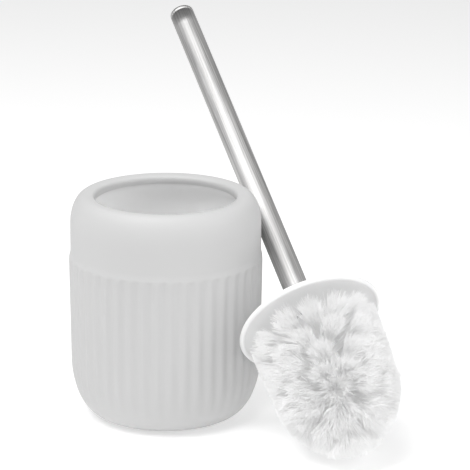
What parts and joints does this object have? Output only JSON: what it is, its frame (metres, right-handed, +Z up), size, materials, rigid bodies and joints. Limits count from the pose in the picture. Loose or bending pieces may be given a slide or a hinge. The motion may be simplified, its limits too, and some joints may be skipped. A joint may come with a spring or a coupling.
{
  "type": "toilet brush holder",
  "caption": "Round ribbed holder with a rolled-in mouth, and a brush with a brushed steel tube handle, a round splash guard and an egg-shaped bristle head leaning beside it.",
  "frame": {"origin": "centre of the holder's base pad, on the floor", "axes": "+Z up along the holder's axis, out of its mouth; the brush stands on the +X side and its handle leans towards +Y"},
  "size_m": [0.1856, 0.2605, 0.2094],
  "materials": {
    "resin_matte": "smooth matte white",
    "pad_rubber": "matte dark foam rubber",
    "lid_plastic": "satin moulded white",
    "brushed_tube": "fine brushed satin",
    "brushed_cap": "fine brushed satin",
    "inner_plastic": "moulded",
    "insert_brass": "machined",
    "washer_rubber": "soft light grey",
    "stud_steel": "machined",
    "core_plastic": "moulded white",
    "anchor_wire": "bright wire",
    "bristle": "fine white filaments"
  },
  "bodies": {
    "holder": {"holder_body": "resin_matte", "base_pad": "pad_rubber"},
    "brush": {"lid": "lid_plastic", "handle_tube": "brushed_tube", "handle_end_cap": "brushed_cap", "handle_plug": "inner_plastic", "thread_insert": "insert_brass"},
    "washer": {"sealing_washer": "washer_rubber"},
    "head": {"head_core": "core_plastic", "head_stud": "stud_steel", "tuft_anchors": "anchor_wire", "tip_tuft": "bristle", "tuft_ring_1": "bristle", "tuft_ring_2": "bristle", "tuft_ring_3": "bristle", "tuft_ring_4": "bristle", "tuft_ring_5": "bristle", "tuft_ring_6": "bristle"}
  },
  "joints": [
    {"name": "brush_lift", "type": "slide", "parent": "holder", "child": "brush", "axis": [0, 0, 1], "range_m": [0, 0.2]},
    {"name": "head_travel", "type": "slide", "parent": "brush", "child": "washer", "axis": [0.2954, -0.7576, -0.5821], "range_m": [0, 0.0121]},
    {"name": "head_turn", "type": "hinge", "parent": "washer", "child": "head", "pos_m": [0.0806, -0.0356, 0.06445], "axis": [0.2954, -0.7576, -0.5821], "range_deg": [0, 2160]}
  ],
  "couplings": [
    {"joint": "head_travel", "follows": "head_turn", "m_per_rad": 0.00031831}
  ]
}
